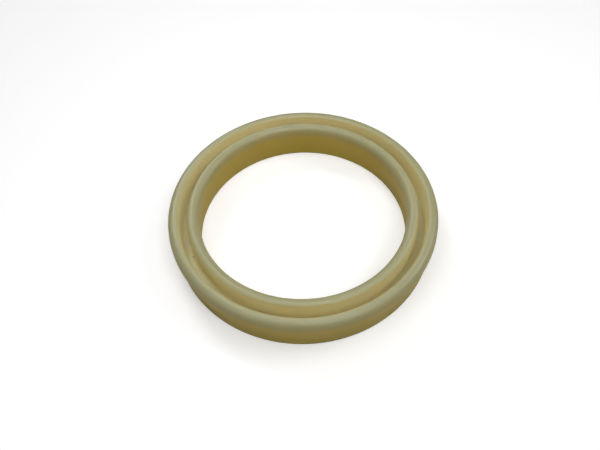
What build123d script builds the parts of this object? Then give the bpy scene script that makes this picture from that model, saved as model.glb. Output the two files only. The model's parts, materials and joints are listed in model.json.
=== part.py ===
"""U cup seal: one moulded polyurethane ring for a reciprocating rod or piston.

The ring lies on its heel, with +Z along its axis towards the lips and the origin at the
centre of the heel face. All sizes are millimetres, and radii are from the ring's axis.
"""

import os

from build123d import *

# Driving dimensions
rod_diameter = 80.0  # the rod that runs inside the ring
bore_diameter = 100.0  # the housing bore that holds the ring
height = 15.5  # heel face to lip tips, for a groove 16 mm long

# Heel: the solid foot of the U, a little narrower than its groove
heel_gap_rod = 0.25
heel_gap_bore = 0.25
heel_wall = 5.0  # straight height of the heel's two walls
heel_edge_radius = 0.5

# Lips: they flare past the rod and the bore, so that fitting the ring squeezes them
lip_squeeze_rod = 0.85
lip_squeeze_bore = 0.8
sealing_edge_drop = 3.1  # how far each sealing edge lies below the lip tips
inner_lip_width = 3.6
outer_lip_width = 4.0
shoulder_lean = 0.35  # how far the shoulder leans back between sealing edge and tip
shoulder_radius = 2.0
tip_radius = 1.2  # rounding of each lip tip on the groove side

# Groove: the channel that the pressure fills to spread the lips
groove_depth = 9.0
groove_floor_width = 2.4
groove_floor_radius = 1.15

# Radii worked out from the driving dimensions
heel_inner = rod_diameter / 2 + heel_gap_rod
heel_outer = bore_diameter / 2 - heel_gap_bore
lip_inner = rod_diameter / 2 - lip_squeeze_rod
lip_outer = bore_diameter / 2 + lip_squeeze_bore
groove_inner = lip_inner + inner_lip_width
groove_outer = lip_outer - outer_lip_width
groove_middle = (groove_inner + groove_outer) / 2
groove_floor = height - groove_depth
sealing_edge = height - sealing_edge_drop

# Corners of the section as (radius, height), rounded off in the sketch below
heel_corners = [(heel_inner, 0), (heel_outer, 0)]
shoulder_corners = [(lip_inner + shoulder_lean, height), (lip_outer - shoulder_lean, height)]
tip_corners = [(groove_inner, height), (groove_outer, height)]
floor_corners = [
    (groove_middle - groove_floor_width / 2, groove_floor),
    (groove_middle + groove_floor_width / 2, groove_floor),
]

with BuildPart() as seal_ring:
    with BuildSketch(Plane.XZ) as section:
        with BuildLine():
            Polyline(
                heel_corners[1],
                (heel_outer, heel_wall),
                (lip_outer, sealing_edge),
                shoulder_corners[1],
                tip_corners[1],
                floor_corners[1],
                floor_corners[0],
                tip_corners[0],
                shoulder_corners[0],
                (lip_inner, sealing_edge),
                (heel_inner, heel_wall),
                heel_corners[0],
                close=True,
            )
        make_face()
        for corners, radius in (
            (heel_corners, heel_edge_radius),
            (shoulder_corners, shoulder_radius),
            (tip_corners, tip_radius),
            (floor_corners, groove_floor_radius),
        ):
            for corner in corners:
                fillet(section.vertices().sort_by_distance(corner)[0], radius)
    revolve(axis=Axis.Z)

seal_ring.part.label = "seal_ring"
os.makedirs("parts", exist_ok=True)
export_step(seal_ring.part, "parts/seal_ring.step")

print(f"volume {seal_ring.part.volume / 1000:.2f} cm3, size {seal_ring.part.bounding_box().size}")
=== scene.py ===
# %% [markdown]
# # A U cup seal in natural polyurethane
#
# A U cup is a ring that seals a sliding rod or piston. Its section is a U: a solid heel
# below, and two lips above that pressure spreads apart against the rod and the bore.
# The whole thing is one moulding, so this scene has one piece to make and one material to
# get right. That makes it a good exercise in two things: sweeping an exact section round a
# circle, and a rubbery plastic that light sinks into before it comes back out.

# %% The fixed frame
import json
import math

import bmesh
import bpy
from mathutils import Matrix, Vector


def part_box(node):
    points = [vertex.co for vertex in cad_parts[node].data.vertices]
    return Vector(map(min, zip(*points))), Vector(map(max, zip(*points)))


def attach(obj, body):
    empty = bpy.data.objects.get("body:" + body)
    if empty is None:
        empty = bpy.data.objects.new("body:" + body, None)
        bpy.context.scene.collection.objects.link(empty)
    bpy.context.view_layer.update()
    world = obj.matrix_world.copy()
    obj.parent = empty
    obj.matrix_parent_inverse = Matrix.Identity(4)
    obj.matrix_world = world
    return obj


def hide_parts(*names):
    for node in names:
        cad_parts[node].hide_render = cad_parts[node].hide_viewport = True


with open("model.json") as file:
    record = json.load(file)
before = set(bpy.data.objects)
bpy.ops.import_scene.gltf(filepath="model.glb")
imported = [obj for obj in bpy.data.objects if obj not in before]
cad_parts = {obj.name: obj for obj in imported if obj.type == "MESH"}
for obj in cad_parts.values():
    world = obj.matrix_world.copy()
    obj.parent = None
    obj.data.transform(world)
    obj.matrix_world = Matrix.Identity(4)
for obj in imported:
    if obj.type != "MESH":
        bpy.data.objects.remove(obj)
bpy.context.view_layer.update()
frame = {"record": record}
mounts = {mount["name"]: mount for mount in frame["record"]["mounts"]}

# %% [markdown]
# ## Sizes
#
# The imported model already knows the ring's overall size and the two straight walls of its
# heel. Reading those here, rather than typing them again, keeps the picture and the CAD in
# step. The few sizes that the frame can't give are written once, in millimetres.

# %% Driving sizes
MM = 0.001

low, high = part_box("seal_ring")
RING = {
    "Height": high.z,
    "Lip Outer Radius": high.x,
    "Heel Inner Radius": mounts["rod_bore"]["dims"]["r_mm"] * MM,
    "Heel Outer Radius": mounts["housing_fit"]["dims"]["r_mm"] * MM,
    "Heel Wall": 5.0 * MM,
    "Heel Edge Break": 0.5 * MM,
    "Lip Inner Radius": 39.15 * MM,
    "Sealing Edge Drop": 3.7 * MM,
    "Inner Lip Width": 3.9 * MM,
    "Outer Lip Width": 4.0 * MM,
    "Shoulder Lean": 0.3 * MM,
    "Shoulder Radius": 2.4 * MM,
    "Tip Radius": 1.25 * MM,
    "Groove Depth": 8.0 * MM,
    "Groove Floor Width": 2.4 * MM,
    "Groove Floor Radius": 1.15 * MM,
}
SWEEP_STEPS = 360
ROUND_STEPS = 8
for name, size in RING.items():
    print(f"{name}: {size / MM:.2f} mm")


# %% [markdown]
# ## Helpers for node trees
#
# Node trees read best in code when each node is one line: its kind, its settings and what
# plugs into it. Arithmetic comes up so often that it has a helper of its own. Colours are
# written as the hex values that a paint chart gives, and a shader wants them linear, so one
# function does that turn.

# %% Node and colour helpers
def add_node(tree, kind, links=None, **settings):
    """Adds a node, sets its properties, and fills its inputs with values or other sockets."""
    node = tree.nodes.new(kind)
    for key, value in settings.items():
        setattr(node, key, value)
    for key, value in (links or {}).items():
        socket = node.inputs[key]
        if isinstance(value, bpy.types.NodeSocket):
            tree.links.new(value, socket)
        else:
            socket.default_value = value
    return node


def calc(tree, operation, a, b=0.0):
    """One step of arithmetic on numbers or sockets."""
    return add_node(tree, "ShaderNodeMath", {0: a, 1: b}, operation=operation).outputs[0]


def linear(hex_colour):
    """An sRGB hex colour as linear red, green, blue and alpha."""
    channels = [int(hex_colour[i : i + 2], 16) / 255 for i in (1, 3, 5)]
    return [c / 12.92 if c <= 0.04045 else ((c + 0.055) / 1.055) ** 2.4 for c in channels] + [1]


print("A mid grey, #808080, is", round(linear("#808080")[0], 3), "in linear light")


# %% [markdown]
# ## The ring
#
# The section could be drawn by hand as a list of points, or lathed with a Screw modifier.
# Geometry Nodes say it better: the corners of the section are sums of named sizes, Fillet
# Curve rounds each corner by its own radius, and Curve to Mesh sweeps the result round a
# circle. Changing a size changes the ring, as it would in CAD.

# %% The section's corners as sums of sizes
def section_corners(tree, size):
    """Pairs of (corner position socket, rounding socket), anticlockwise from the heel."""

    def plus(a, b):
        return calc(tree, "ADD", a, b)

    def minus(a, b):
        return calc(tree, "SUBTRACT", a, b)

    def corner(radius, height, rounding=0.0):
        place = add_node(tree, "ShaderNodeCombineXYZ", {"X": radius, "Y": height})
        return place.outputs[0], rounding

    top = size["Height"]
    edge = minus(top, size["Sealing Edge Drop"])
    floor = minus(top, size["Groove Depth"])
    groove_inner = plus(size["Lip Inner Radius"], size["Inner Lip Width"])
    groove_outer = minus(size["Lip Outer Radius"], size["Outer Lip Width"])
    middle = calc(tree, "MULTIPLY", plus(groove_inner, groove_outer), 0.5)
    half_floor = calc(tree, "MULTIPLY", size["Groove Floor Width"], 0.5)
    lean = size["Shoulder Lean"]
    return [
        corner(size["Heel Outer Radius"], 0.0, size["Heel Edge Break"]),
        corner(size["Heel Outer Radius"], size["Heel Wall"]),
        corner(size["Lip Outer Radius"], edge),
        corner(minus(size["Lip Outer Radius"], lean), top, size["Shoulder Radius"]),
        corner(groove_outer, top, size["Tip Radius"]),
        corner(plus(middle, half_floor), floor, size["Groove Floor Radius"]),
        corner(minus(middle, half_floor), floor, size["Groove Floor Radius"]),
        corner(groove_inner, top, size["Tip Radius"]),
        corner(plus(size["Lip Inner Radius"], lean), top, size["Shoulder Radius"]),
        corner(size["Lip Inner Radius"], edge),
        corner(size["Heel Inner Radius"], size["Heel Wall"]),
        corner(size["Heel Inner Radius"], 0.0, size["Heel Edge Break"]),
    ]


# %% [markdown]
# Each corner has a number, so an Index Switch hands every point its own place and its own
# rounding. The path circle has the lip's outer radius, and the section is drawn that much
# nearer the axis: what is taken from the section is given back by the path.

# %% The sweep
def ring_tree():
    tree = bpy.data.node_groups.new("U cup section swept round its axis", "GeometryNodeTree")
    tree.interface.new_socket("Geometry", in_out="OUTPUT", socket_type="NodeSocketGeometry")
    for name in RING:
        tree.interface.new_socket(name, in_out="INPUT", socket_type="NodeSocketFloat")
    for name in ("Sweep Steps", "Round Steps"):
        tree.interface.new_socket(name, in_out="INPUT", socket_type="NodeSocketInt")
    tree.interface.new_socket("Material", in_out="INPUT", socket_type="NodeSocketMaterial")
    size = add_node(tree, "NodeGroupInput").outputs
    corners = section_corners(tree, size)

    index = add_node(tree, "GeometryNodeInputIndex").outputs[0]
    place = add_node(tree, "GeometryNodeIndexSwitch", {"Index": index}, data_type="VECTOR")
    rounding = add_node(tree, "GeometryNodeIndexSwitch", {"Index": index}, data_type="FLOAT")
    for switch, part in ((place, 0), (rounding, 1)):
        while len(switch.index_switch_items) < len(corners):
            switch.index_switch_items.new()
        for i, item in enumerate(corners):
            socket = switch.inputs[i + 1]
            if isinstance(item[part], bpy.types.NodeSocket):
                tree.links.new(item[part], socket)
            else:
                socket.default_value = item[part]

    path_radius = size["Lip Outer Radius"]
    from_path = add_node(tree, "ShaderNodeCombineXYZ", {"X": path_radius})
    offset = add_node(
        tree,
        "ShaderNodeVectorMath",
        {0: place.outputs[0], 1: from_path.outputs[0]},
        operation="SUBTRACT",
    )
    points = add_node(tree, "GeometryNodeMeshLine", {"Count": len(corners)})
    moved = add_node(
        tree,
        "GeometryNodeSetPosition",
        {"Geometry": points.outputs[0], "Position": offset.outputs[0]},
    )
    line = add_node(tree, "GeometryNodeMeshToCurve", {0: moved.outputs[0]})
    closed = add_node(tree, "GeometryNodeSetSplineCyclic", {0: line.outputs[0], "Cyclic": True})
    section = add_node(
        tree,
        "GeometryNodeFilletCurve",
        {0: closed.outputs[0], "Radius": rounding.outputs[0], "Limit Radius": True},
        mode="POLY",
    )
    tree.links.new(size["Round Steps"], section.inputs["Count"])
    path = add_node(
        tree,
        "GeometryNodeCurvePrimitiveCircle",
        {"Radius": path_radius, "Resolution": size["Sweep Steps"]},
    )
    upright = add_node(
        tree,
        "GeometryNodeTransform",
        {"Geometry": section.outputs[0], "Rotation": (math.pi, 0, 0)},
    )
    swept = add_node(
        tree,
        "GeometryNodeCurveToMesh",
        {"Curve": path.outputs[0], "Profile Curve": upright.outputs[0]},
    )
    real = add_node(tree, "GeometryNodeRealizeInstances", {0: swept.outputs[0]})
    smooth = add_node(tree, "GeometryNodeSetShadeSmooth", {0: real.outputs[0]})
    finish = add_node(
        tree,
        "GeometryNodeSetMaterial",
        {"Geometry": smooth.outputs[0], "Material": size["Material"]},
    )
    out = add_node(tree, "NodeGroupOutput")
    tree.links.new(finish.outputs[0], out.inputs[0])
    return tree


# %% [markdown]
# ## Natural polyurethane
#
# Cast or injected polyurethane with no pigment is ivory to straw, with a satin skin from
# the mould. Light goes a few millimetres into it, red further than blue, so the thin lips
# look pale while the thick heel looks like honey. The Principled shader's subsurface makes
# that walk, with a length for each colour. Thickness itself isn't known to a shader, so the
# body colour follows the height: the lips' paler, bluer colour is painted light, a sheen of
# the light from above and of light through the thin resin. The groove's paler colour is
# painted light too, a glow that lifts the shade deep in the groove, standing in for light
# that comes through both of its walls.
#
# A moulding is never quite even. Slow clouds in the resin shift its value by a few percent,
# faint turning lines of the mould run round the ring, and a fine grain breaks the sheen. Two
# specks of dirt and one rub mark sit where a used seal would have them.

# %% The colours and sizes of the polyurethane
HEEL_COLOUR = "#C2A93E"
# painted light: the lips' paler, bluer colour is a sheen of light from above and light through
# thin resin
PALE_LIP_COLOUR_WITH_PAINTED_SHEEN = "#9F9F7D"
# painted light: the groove's pale colour lifts the shade deep in it, as if lit through its walls
PAINTED_GROOVE_GLOW = "#D3CA9A"
DIRT_COLOUR = "#5B5028"
SCATTER_LENGTH = 6.0 * MM
SCATTER_BY_CHANNEL = (1.0, 0.8, 0.5)
POLYURETHANE_IOR = 1.5

# The body colour, with the lips' painted sheen, turns from the heel's to the lips' between
# these heights.
HEEL_COLOUR_HEIGHT = 10.0 * MM
LIP_COLOUR_HEIGHT = 16.0 * MM

# The painted groove glow starts on the lips, this far outside the groove and above the tips,
# and is whole this far inside the groove and below them. The groove's dulling follows it.
GROOVE_START_OUTSIDE = 2.4 * MM
GROOVE_WHOLE_INSIDE = 0.2 * MM
GROOVE_START_ABOVE = 0.6 * MM
GROOVE_WHOLE_BELOW = 1.8 * MM

CLOUD_SIZE = 16 * MM
CLOUD_SHARE = 0.10
LINE_PITCH = 0.7 * MM
LINE_SHARE = 0.04
LINE_RELIEF = 0.012 * MM
GRAIN_SIZE = 0.5 * MM
GRAIN_RELIEF = 0.006 * MM

SATIN_ROUGHNESS = 0.38
GROOVE_DULLING = 0.26
GRAIN_ROUGHNESS = 0.12

print(f"red light goes about {SCATTER_LENGTH * SCATTER_BY_CHANNEL[0] / MM:.1f} mm into it,")
print(f"and blue light {SCATTER_LENGTH * SCATTER_BY_CHANNEL[2] / MM:.1f} mm")


# %% [markdown]
# The marks are dirt that came to rest in the open groove, and one place on the outer lip
# that something has rubbed. Each is a small ball in space, and what the ring's skin cuts
# out of it is the mark, so a mark needs a place and a size and nothing else.

# %% Specks of dirt and a rub mark
MARKS = [
    # azimuth in degrees, radius, height, size, strength
    (-157.4, 44.34 * MM, 7.6 * MM, 0.40 * MM, 0.75),
    (-135.8, 44.26 * MM, 7.6 * MM, 0.40 * MM, 0.45),
    (-70.5, 50.03 * MM, 14.7 * MM, 0.70 * MM, 0.20),
]
MARK_CORE = 0.3  # the share of a mark's size that is fully dark


def fade(tree, value, start, end):
    """0 at start and 1 at end, with a smooth turn between them."""
    ramp = {"Value": value, "From Min": start, "From Max": end}
    kind = "ShaderNodeMapRange"
    return add_node(tree, kind, ramp, interpolation_type="SMOOTHSTEP").outputs["Result"]


def blend(tree, share, a, b):
    colours = {"Factor": share, "A": a, "B": b}
    return add_node(tree, "ShaderNodeMix", colours, data_type="RGBA").outputs["Result"]


def marks(tree, place):
    """How dark the marks make each point, from 0 to 1."""
    darkest = 0.0
    for azimuth, radius, height, size, strength in MARKS:
        angle = math.radians(azimuth)
        centre = (radius * math.cos(angle), radius * math.sin(angle), height)
        ends = {0: place, 1: centre}
        away = add_node(tree, "ShaderNodeVectorMath", ends, operation="DISTANCE")
        core = fade(tree, away.outputs["Value"], size, MARK_CORE * size)
        darkest = calc(tree, "MAXIMUM", darkest, calc(tree, "MULTIPLY", core, strength))
    return darkest


print(len(MARKS), "marks")


# %% [markdown]
# Now the shader. All of it is laid out in the ring's own coordinates: its height, its
# distance from the axis, and for the clouds and the grain its plain place. The mould lines
# are a noise that knows only height and distance, so that it can't change along the ring.

# %% The polyurethane material
def ring_coordinates(tree):
    """The place on the ring, and its height and distance from the axis."""
    place = add_node(tree, "ShaderNodeTexCoord").outputs["Object"]
    height = add_node(tree, "ShaderNodeSeparateXYZ", {0: place}).outputs["Z"]
    level = {0: place, 1: (1, 1, 0)}
    flat = add_node(tree, "ShaderNodeVectorMath", level, operation="MULTIPLY").outputs[0]
    radius = add_node(tree, "ShaderNodeVectorMath", {0: flat}, operation="LENGTH").outputs["Value"]
    return place, height, radius


def groove_glow_and_dulling_share(tree, height, radius):
    """1 inside the groove, where its glow is painted and its skin duller, and 0 elsewhere."""
    top = RING["Height"]
    inner = RING["Lip Inner Radius"] + RING["Inner Lip Width"]
    outer = RING["Lip Outer Radius"] - RING["Outer Lip Width"]
    half_open = (outer - inner) / 2
    off_middle = calc(tree, "ABSOLUTE", calc(tree, "SUBTRACT", radius, (inner + outer) / 2))
    start, whole = half_open + GROOVE_START_OUTSIDE, half_open - GROOVE_WHOLE_INSIDE
    across = fade(tree, off_middle, start, whole)
    down = fade(tree, height, top + GROOVE_START_ABOVE, top - GROOVE_WHOLE_BELOW)
    return calc(tree, "MULTIPLY", across, down)


def noise(tree, where, size):
    """Noise about zero, from about -0.5 to 0.5, with features of the given size."""
    look = {"Vector": where, "Scale": 1 / size, "Detail": 2.0}
    return calc(tree, "SUBTRACT", add_node(tree, "ShaderNodeTexNoise", look).outputs["Fac"], 0.5)


def weighted_sum(tree, start, *terms):
    """The start value plus each (socket, weight) term."""
    total = start
    for socket, weight in terms:
        total = calc(tree, "ADD", total, calc(tree, "MULTIPLY", socket, weight))
    return total


def natural_polyurethane():
    material = bpy.data.materials.new("natural polyurethane, satin moulded")
    material.use_nodes = True
    tree = material.node_tree
    tree.nodes.clear()
    place, height, radius = ring_coordinates(tree)
    painted_glow_and_dulling = groove_glow_and_dulling_share(tree, height, radius)
    across_section = add_node(tree, "ShaderNodeCombineXYZ", {"X": radius, "Y": height}).outputs[0]
    clouds = noise(tree, place, CLOUD_SIZE)
    lines = noise(tree, across_section, LINE_PITCH)
    grain = noise(tree, place, GRAIN_SIZE)

    # higher up the colour is paler and bluer: a painted sheen of light from above and through thin
    # resin
    lips = fade(tree, height, HEEL_COLOUR_HEIGHT, LIP_COLOUR_HEIGHT)
    body = blend(tree, lips, linear(HEEL_COLOUR), linear(PALE_LIP_COLOUR_WITH_PAINTED_SHEEN))
    # the groove's colour is a painted glow that lifts the shade falling deep in the groove
    even = blend(tree, painted_glow_and_dulling, body, linear(PAINTED_GROOVE_GLOW))
    value = weighted_sum(tree, 1.0, (clouds, CLOUD_SHARE), (lines, LINE_SHARE))
    clouded = add_node(tree, "ShaderNodeHueSaturation", {"Value": value, "Color": even}).outputs[0]
    colour = blend(tree, marks(tree, place), clouded, linear(DIRT_COLOUR))

    relief = weighted_sum(tree, 0.0, (lines, LINE_RELIEF), (grain, GRAIN_RELIEF))
    bump = {"Height": relief, "Strength": 1.0, "Distance": 1.0}
    skin = add_node(tree, "ShaderNodeBump", bump).outputs[0]
    roughness = weighted_sum(
        tree, SATIN_ROUGHNESS, (painted_glow_and_dulling, GROOVE_DULLING), (grain, GRAIN_ROUGHNESS)
    )
    shader = add_node(
        tree,
        "ShaderNodeBsdfPrincipled",
        {
            "Base Color": colour,
            "Roughness": roughness,
            "Normal": skin,
            "IOR": POLYURETHANE_IOR,
            "Subsurface Weight": 1.0,
            "Subsurface Radius": SCATTER_BY_CHANNEL,
            "Subsurface Scale": SCATTER_LENGTH,
        },
        subsurface_method="RANDOM_WALK",
    )
    out = add_node(tree, "ShaderNodeOutputMaterial")
    tree.links.new(shader.outputs[0], out.inputs["Surface"])
    return material


polyurethane = natural_polyurethane()
print(polyurethane.name, "has", len(polyurethane.node_tree.nodes), "nodes")


# %% [markdown]
# ## The ring as a mesh
#
# The modifier's inputs go in by each socket's identifier before anything is evaluated, and
# the evaluated result becomes a plain mesh. From there on it is an ordinary object.

# %% Make the ring
def make_ring(material):
    tree = ring_tree()
    values = {**RING, "Sweep Steps": SWEEP_STEPS, "Round Steps": ROUND_STEPS, "Material": material}
    holder = bpy.data.objects.new("ring_recipe", bpy.data.meshes.new("ring_recipe"))
    bpy.context.scene.collection.objects.link(holder)
    modifier = holder.modifiers.new("sweep", "NODES")
    modifier.node_group = tree
    for item in tree.interface.items_tree:
        if item.in_out == "INPUT":
            modifier[item.identifier] = values[item.name]
    evaluated = holder.evaluated_get(bpy.context.evaluated_depsgraph_get())
    mesh = bpy.data.meshes.new_from_object(evaluated)
    bpy.data.objects.remove(holder)
    mesh.name = "u_cup_ring"
    ring = bpy.data.objects.new("u_cup_ring", mesh)
    bpy.context.scene.collection.objects.link(ring)
    return ring


ring = make_ring(polyurethane)
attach(ring, "root")
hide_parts("seal_ring")
print(len(ring.data.vertices), "points,", len(ring.data.polygons), "faces")
shell = bmesh.new()
shell.from_mesh(ring.data)
open_edges = sum(1 for edge in shell.edges if not edge.is_manifold)
print(f"volume {shell.calc_volume(signed=True) / MM**3 / 1000:.2f} cm3, open edges {open_edges}")
shell.free()

# %% [markdown]
# ## The table
#
# The ring lies on a plain white table. To the camera the table is partly its own light,
# which keeps the ground white and leaves a soft shadow round the ring. To every other ray
# it is a plain grey white, so it bounces no more light into the ring than a table does.

# %% The white table
TABLE_COLOUR = "#BFBFBF"
SEEN_TABLE_COLOUR = "#E6E6E6"
SEEN_TABLE_GLOW = 0.36
TABLE_HALF_WIDTH = 1.5
WHITE = (1, 1, 1, 1)


def white_table():
    material = bpy.data.materials.new("white table")
    material.use_nodes = True
    tree = material.node_tree
    tree.nodes.clear()
    ray = add_node(tree, "ShaderNodeLightPath").outputs["Is Camera Ray"]
    plain = add_node(tree, "ShaderNodeBsdfDiffuse", {"Color": linear(TABLE_COLOUR)})
    glow = add_node(tree, "ShaderNodeEmission", {"Color": WHITE, "Strength": SEEN_TABLE_GLOW})
    dimmed = add_node(tree, "ShaderNodeBsdfDiffuse", {"Color": linear(SEEN_TABLE_COLOUR)})
    seen = add_node(tree, "ShaderNodeAddShader", {0: glow.outputs[0], 1: dimmed.outputs[0]})
    choice = {0: ray, 1: plain.outputs[0], 2: seen.outputs[0]}
    shader = add_node(tree, "ShaderNodeMixShader", choice)
    out = add_node(tree, "ShaderNodeOutputMaterial")
    tree.links.new(shader.outputs[0], out.inputs["Surface"])
    return material


def table(half):
    corners = [(-half, -half, 0), (half, -half, 0), (half, half, 0), (-half, half, 0)]
    mesh = bpy.data.meshes.new("table")
    mesh.from_pydata(corners, [], [(0, 1, 2, 3)])
    mesh.materials.append(white_table())
    obj = bpy.data.objects.new("table", mesh)
    bpy.context.scene.collection.objects.link(obj)
    return obj


table(TABLE_HALF_WIDTH)
print(f"table {2 * TABLE_HALF_WIDTH:.1f} m across")


# %% [markdown]
# ## The light
#
# A window at the back left draws the sheen along the rounded edges, and three softboxes
# fill the other sides. All stand high, so that the lips are brighter than the walls. One
# more softbox hangs low over the bore, because its wall would otherwise be the darkest
# thing in the picture. The sky gives almost no light and is there to be a white backdrop.

# %% Lamps and sky
LAMPS = [
    # name, azimuth and elevation in degrees, distance and width in metres, watts
    ("window", 118, 44, 0.70, 0.20, 1.10),
    ("right softbox", 10, 42, 0.70, 0.30, 1.15),
    ("left softbox", 222, 42, 0.70, 0.30, 0.65),
    ("front softbox", 298, 58, 0.70, 0.30, 1.30),
    ("overhead softbox", 90, 88, 0.22, 0.15, 0.16),
]
SKY_LIGHT = 0.05


def soft_lamp(name, azimuth, elevation, distance, width, watts):
    """A square lamp that looks at the ring. Azimuth is anticlockwise from +X."""
    data = bpy.data.lights.new(name, "AREA")
    data.size = width
    data.energy = watts
    lamp = bpy.data.objects.new(name, data)
    a, e = math.radians(azimuth), math.radians(elevation)
    away = Vector((math.cos(a) * math.cos(e), math.sin(a) * math.cos(e), math.sin(e)))
    lamp.location = away * distance
    lamp.rotation_euler = away.to_track_quat("Z", "Y").to_euler()
    bpy.context.scene.collection.objects.link(lamp)
    return lamp


def pale_sky(light):
    """An even sky of the given light, which the camera alone sees as full white."""
    world = bpy.data.worlds.new("pale sky")
    world.use_nodes = True
    tree = world.node_tree
    tree.nodes.clear()
    ray = add_node(tree, "ShaderNodeLightPath").outputs["Is Camera Ray"]
    seen = calc(tree, "MAXIMUM", ray, light)
    white = add_node(tree, "ShaderNodeBackground", {"Color": WHITE, "Strength": seen})
    out = add_node(tree, "ShaderNodeOutputWorld")
    tree.links.new(white.outputs[0], out.inputs["Surface"])
    return world


for lamp in LAMPS:
    soft_lamp(*lamp)
bpy.context.scene.world = pale_sky(SKY_LIGHT)
print(len(LAMPS), "lamps,", round(sum(lamp[-1] for lamp in LAMPS), 2), "W in all")

# %% [markdown]
# ## The camera
#
# A lens of about 32 mm stands close to the ring and looks down at it by some 55 degrees. A
# roll of two degrees keeps the view from looking like a drawing.

# %% Camera
LENS_MM = 32.48
CAMERA_DISTANCE = 215.9 * MM
LOOK_DOWN = math.radians(54.6)
ROLL = math.radians(-2.1)
SHIFT_X = -0.00565
SHIFT_Y = 0.00383
CLIP_START = 0.01

camera_data = bpy.data.cameras.new("camera")
camera_data.lens = LENS_MM
camera_data.shift_x = SHIFT_X
camera_data.shift_y = SHIFT_Y
camera_data.clip_start = CLIP_START
camera = bpy.data.objects.new("camera", camera_data)
bpy.context.scene.collection.objects.link(camera)
stand = Vector((0, -math.cos(LOOK_DOWN), math.sin(LOOK_DOWN))) * CAMERA_DISTANCE
tilt = Matrix.Rotation(math.pi / 2 - LOOK_DOWN, 4, "X")
camera.matrix_world = Matrix.Translation(stand) @ tilt @ Matrix.Rotation(ROLL, 4, "Z")
bpy.context.scene.camera = camera
bpy.context.scene.view_settings.view_transform = "Standard"
print("camera at", [round(c / MM, 1) for c in stand], "mm")
